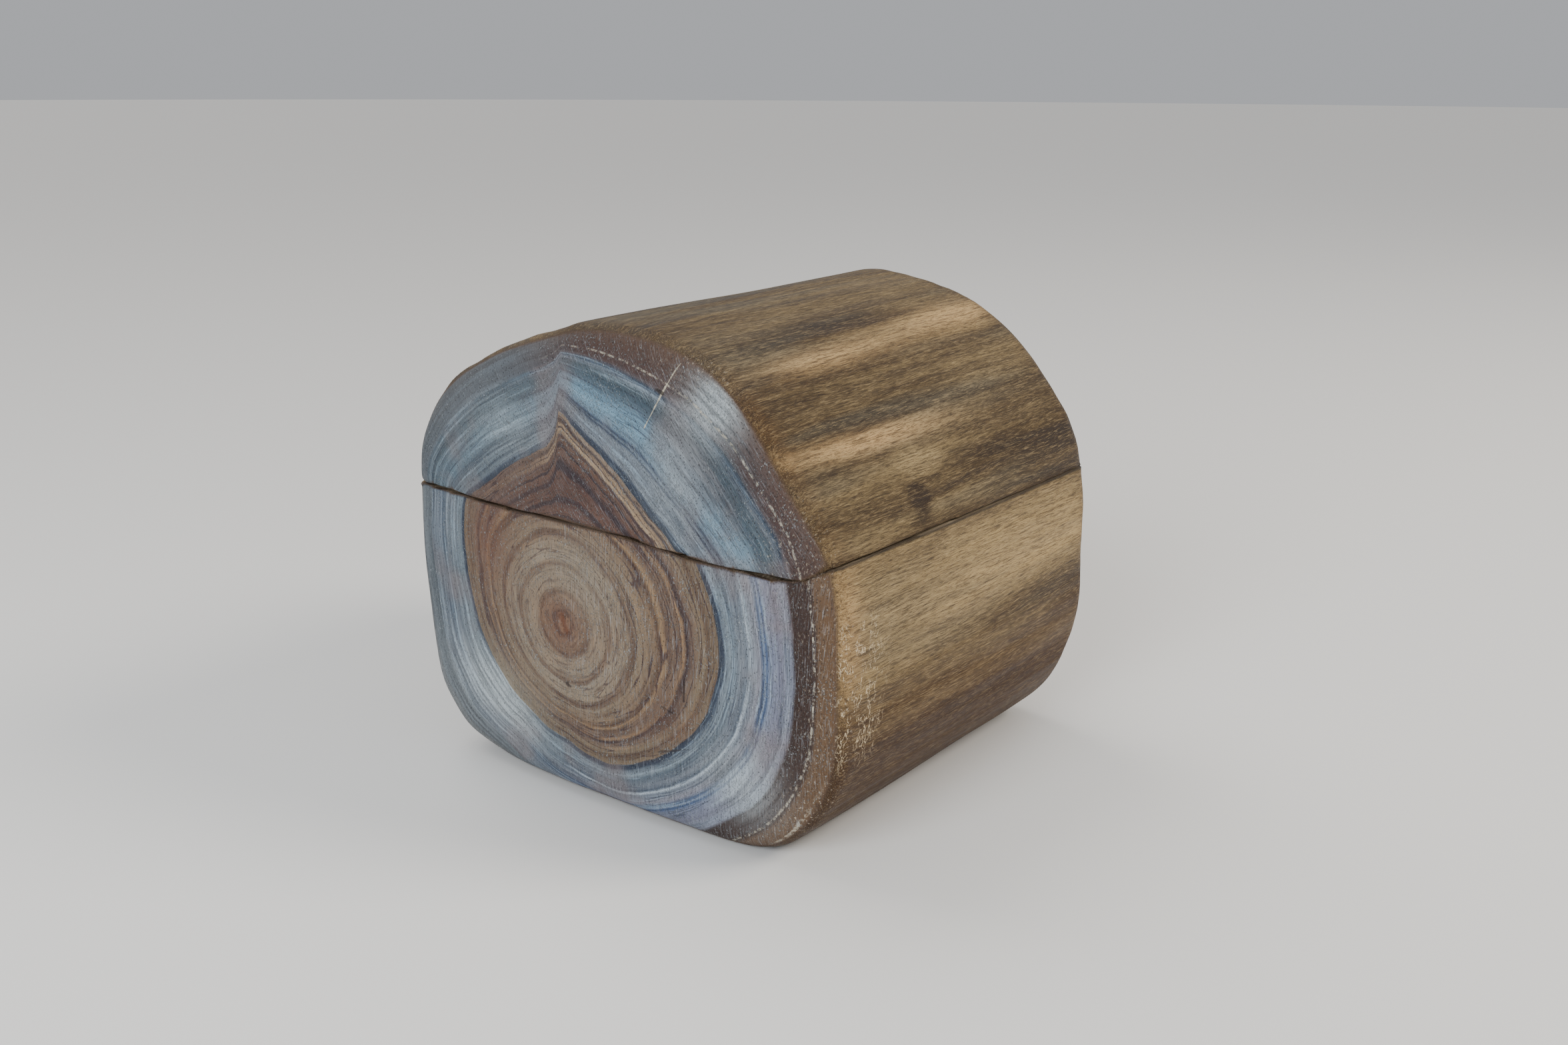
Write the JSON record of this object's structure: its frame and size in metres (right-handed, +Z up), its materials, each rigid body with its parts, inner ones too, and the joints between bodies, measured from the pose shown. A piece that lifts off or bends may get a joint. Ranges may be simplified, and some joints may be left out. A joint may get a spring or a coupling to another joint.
{
  "type": "log puzzle box",
  "caption": "Small hinged box sawn from one short length of branch wood, with a domed lid and a hidden spin-release pin lock.",
  "frame": {"origin": "middle of the box's footprint, on the surface that it stands on", "axes": "X along the grain, -X the end whose rings face the user's left, -Y the front that opens, +Y the hinged back, +Z up"},
  "size_m": [0.11, 0.1182, 0.104],
  "materials": {
    "base_wood": "satin, oiled, long grain along X with ringed ends",
    "lid_wood": "satin, oiled, long grain along X with ringed ends",
    "block_wood": "planed, satin",
    "dowel_wood": "sanded, matte",
    "brass": "brushed, slightly tarnished",
    "brass_screws": "turned, satin",
    "steel": "ground, bright",
    "magnet": "nickel plated",
    "felt": "matte wool felt"
  },
  "bodies": {
    "base": {"base_log": "base_wood", "hinge_leaf_base_left": "brass", "hinge_leaf_base_right": "brass", "hinge_pin_left": "steel", "hinge_pin_right": "steel", "hinge_screws_base": "brass_screws", "lock_block": "block_wood", "lock_block_screws": "brass_screws", "bore_plug_left": "dowel_wood", "bore_plug_right": "dowel_wood", "floor_felt": "felt"},
    "lid": {"lid_log": "lid_wood", "hinge_leaf_lid_left": "brass", "hinge_leaf_lid_right": "brass", "hinge_screws_lid": "brass_screws", "keeper": "brass", "keeper_magnet": "magnet", "keeper_screws": "brass_screws", "lid_felt": "felt"},
    "lock_pin_left": {"lock_pin_left": "steel"},
    "lock_pin_right": {"lock_pin_right": "steel"}
  },
  "joints": [
    {"name": "lid_hinge", "type": "hinge", "parent": "base", "child": "lid", "pos_m": [0, 0.0569, 0.06218], "axis": [-1, 0, 0], "range_deg": [0, 100]},
    {"name": "lock_pin_left_slide", "type": "slide", "parent": "base", "child": "lock_pin_left", "axis": [1, 0, 0], "range_m": [0, 0.005]},
    {"name": "lock_pin_right_slide", "type": "slide", "parent": "base", "child": "lock_pin_right", "axis": [-1, 0, 0], "range_m": [0, 0.005]}
  ]
}
